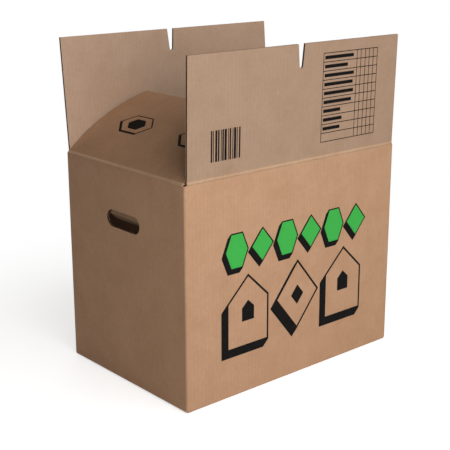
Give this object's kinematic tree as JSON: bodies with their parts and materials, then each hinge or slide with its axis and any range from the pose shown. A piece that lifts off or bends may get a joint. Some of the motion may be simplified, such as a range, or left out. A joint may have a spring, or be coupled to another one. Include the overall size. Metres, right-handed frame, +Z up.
{
  "type": "moving box",
  "caption": "Open slotted corrugated moving box with hinged top flaps, lock notches and hand holes with folded-in tabs.",
  "frame": {"origin": "on the floor, under the middle of the whole box with its flaps as shown", "axes": "+Z up, X along the long walls, the printed long wall faces -Y"},
  "size_m": [0.4908, 0.3514, 0.5805],
  "materials": {
    "kraft_board": "matte"
  },
  "bodies": {
    "carton": {"carton_body": "kraft_board"},
    "front_flap": {"front_flap": "kraft_board"},
    "back_flap": {"back_flap": "kraft_board"},
    "left_end_flap": {"left_end_flap": "kraft_board"},
    "right_end_flap": {"right_end_flap": "kraft_board"},
    "left_hand_tab": {"left_hand_tab": "kraft_board"},
    "right_hand_tab": {"right_hand_tab": "kraft_board"}
  },
  "joints": [
    {"name": "front_flap_hinge", "type": "hinge", "parent": "carton", "child": "front_flap", "pos_m": [0, -0.17133, 0.383], "axis": [1, 0, 0], "range_deg": [-1.3, 174.7]},
    {"name": "back_flap_hinge", "type": "hinge", "parent": "carton", "child": "back_flap", "pos_m": [0, 0.15997, 0.383], "axis": [-1, 0, 0], "range_deg": [-4.6, 171.4]},
    {"name": "left_end_flap_hinge", "type": "hinge", "parent": "carton", "child": "left_end_flap", "pos_m": [-0.24415, -0.00568, 0.383], "axis": [0, -1, 0], "range_deg": [-27, 225]},
    {"name": "right_end_flap_hinge", "type": "hinge", "parent": "carton", "child": "right_end_flap", "pos_m": [0.24415, -0.00568, 0.383], "axis": [0, 1, 0], "range_deg": [-27, 225]},
    {"name": "left_hand_tab_hinge", "type": "hinge", "parent": "carton", "child": "left_hand_tab", "pos_m": [-0.23985, -0.00568, 0.30295], "axis": [0, -1, 0], "range_deg": [-45, 125]},
    {"name": "right_hand_tab_hinge", "type": "hinge", "parent": "carton", "child": "right_hand_tab", "pos_m": [0.23985, -0.00568, 0.30295], "axis": [0, 1, 0], "range_deg": [-45, 125]}
  ]
}
